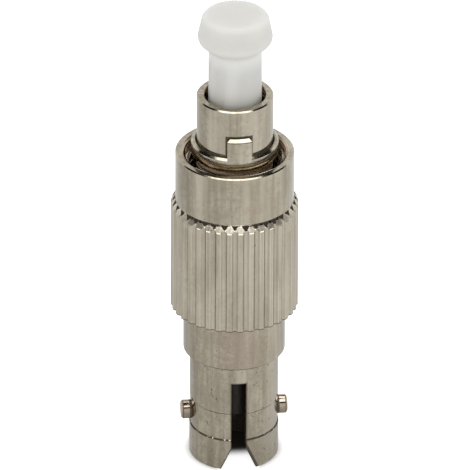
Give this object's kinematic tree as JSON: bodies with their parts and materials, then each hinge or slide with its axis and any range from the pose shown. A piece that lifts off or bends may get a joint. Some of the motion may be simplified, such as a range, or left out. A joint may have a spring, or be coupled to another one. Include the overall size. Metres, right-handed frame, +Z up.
{
  "type": "hybrid fibre adapter, keyed screw plug to ST bayonet jack",
  "caption": "Cylindrical fibre adapter: capped ferrule plug in a fluted screw nut above, slotted bayonet jack with two side pins below.",
  "frame": {"origin": "middle of the mouth rim that the adapter stands on", "axes": "+Z up along the axis towards the dust cap, -Y through the keyway slot and the key, +X through one bayonet pin"},
  "size_m": [0.01, 0.01, 0.0393],
  "materials": {
    "nickel_plated_brass": "turned brass with satin nickel plate, warm grey",
    "zirconia": "ground and polished white ceramic",
    "silica": "clear polished glass fibre",
    "spring_steel": "bright drawn stainless spring steel",
    "white_polyethylene": "translucent milky white moulding, soft sheen"
  },
  "bodies": {
    "root": {"st_barrel": "nickel_plated_brass", "bayonet_pin_right": "nickel_plated_brass", "bayonet_pin_left": "nickel_plated_brass", "body_shell": "nickel_plated_brass", "sleeve_holder": "nickel_plated_brass", "split_sleeve": "zirconia", "plug_frame": "nickel_plated_brass", "key_ring": "nickel_plated_brass", "spring_seat": "nickel_plated_brass", "ferrule_spring": "spring_steel"},
    "ferrule_unit": {"ferrule": "zirconia", "optical_fibre": "silica", "ferrule_flange": "nickel_plated_brass"},
    "cap": {"dust_cap": "white_polyethylene"},
    "nut_ring": {"nut_retaining_ring": "spring_steel"},
    "nut": {"coupling_nut": "nickel_plated_brass"}
  },
  "joints": [
    {"name": "ferrule_float", "type": "slide", "parent": "root", "child": "ferrule_unit", "axis": [0, 0, 1], "range_m": [-0.0008, 0], "stiffness_N_per_m": 2000, "deforming": ["ferrule_spring"]},
    {"name": "cap_pull", "type": "slide", "parent": "ferrule_unit", "child": "cap", "axis": [0, 0, 1], "range_m": [0, 0.012]},
    {"name": "nut_travel", "type": "slide", "parent": "root", "child": "nut_ring", "axis": [0, 0, 1], "range_m": [0, 0.0064]},
    {"name": "nut_turn", "type": "hinge", "parent": "nut_ring", "child": "nut", "pos_m": [0, 0, 0.02], "axis": [0, 0, 1], "continuous": true}
  ]
}
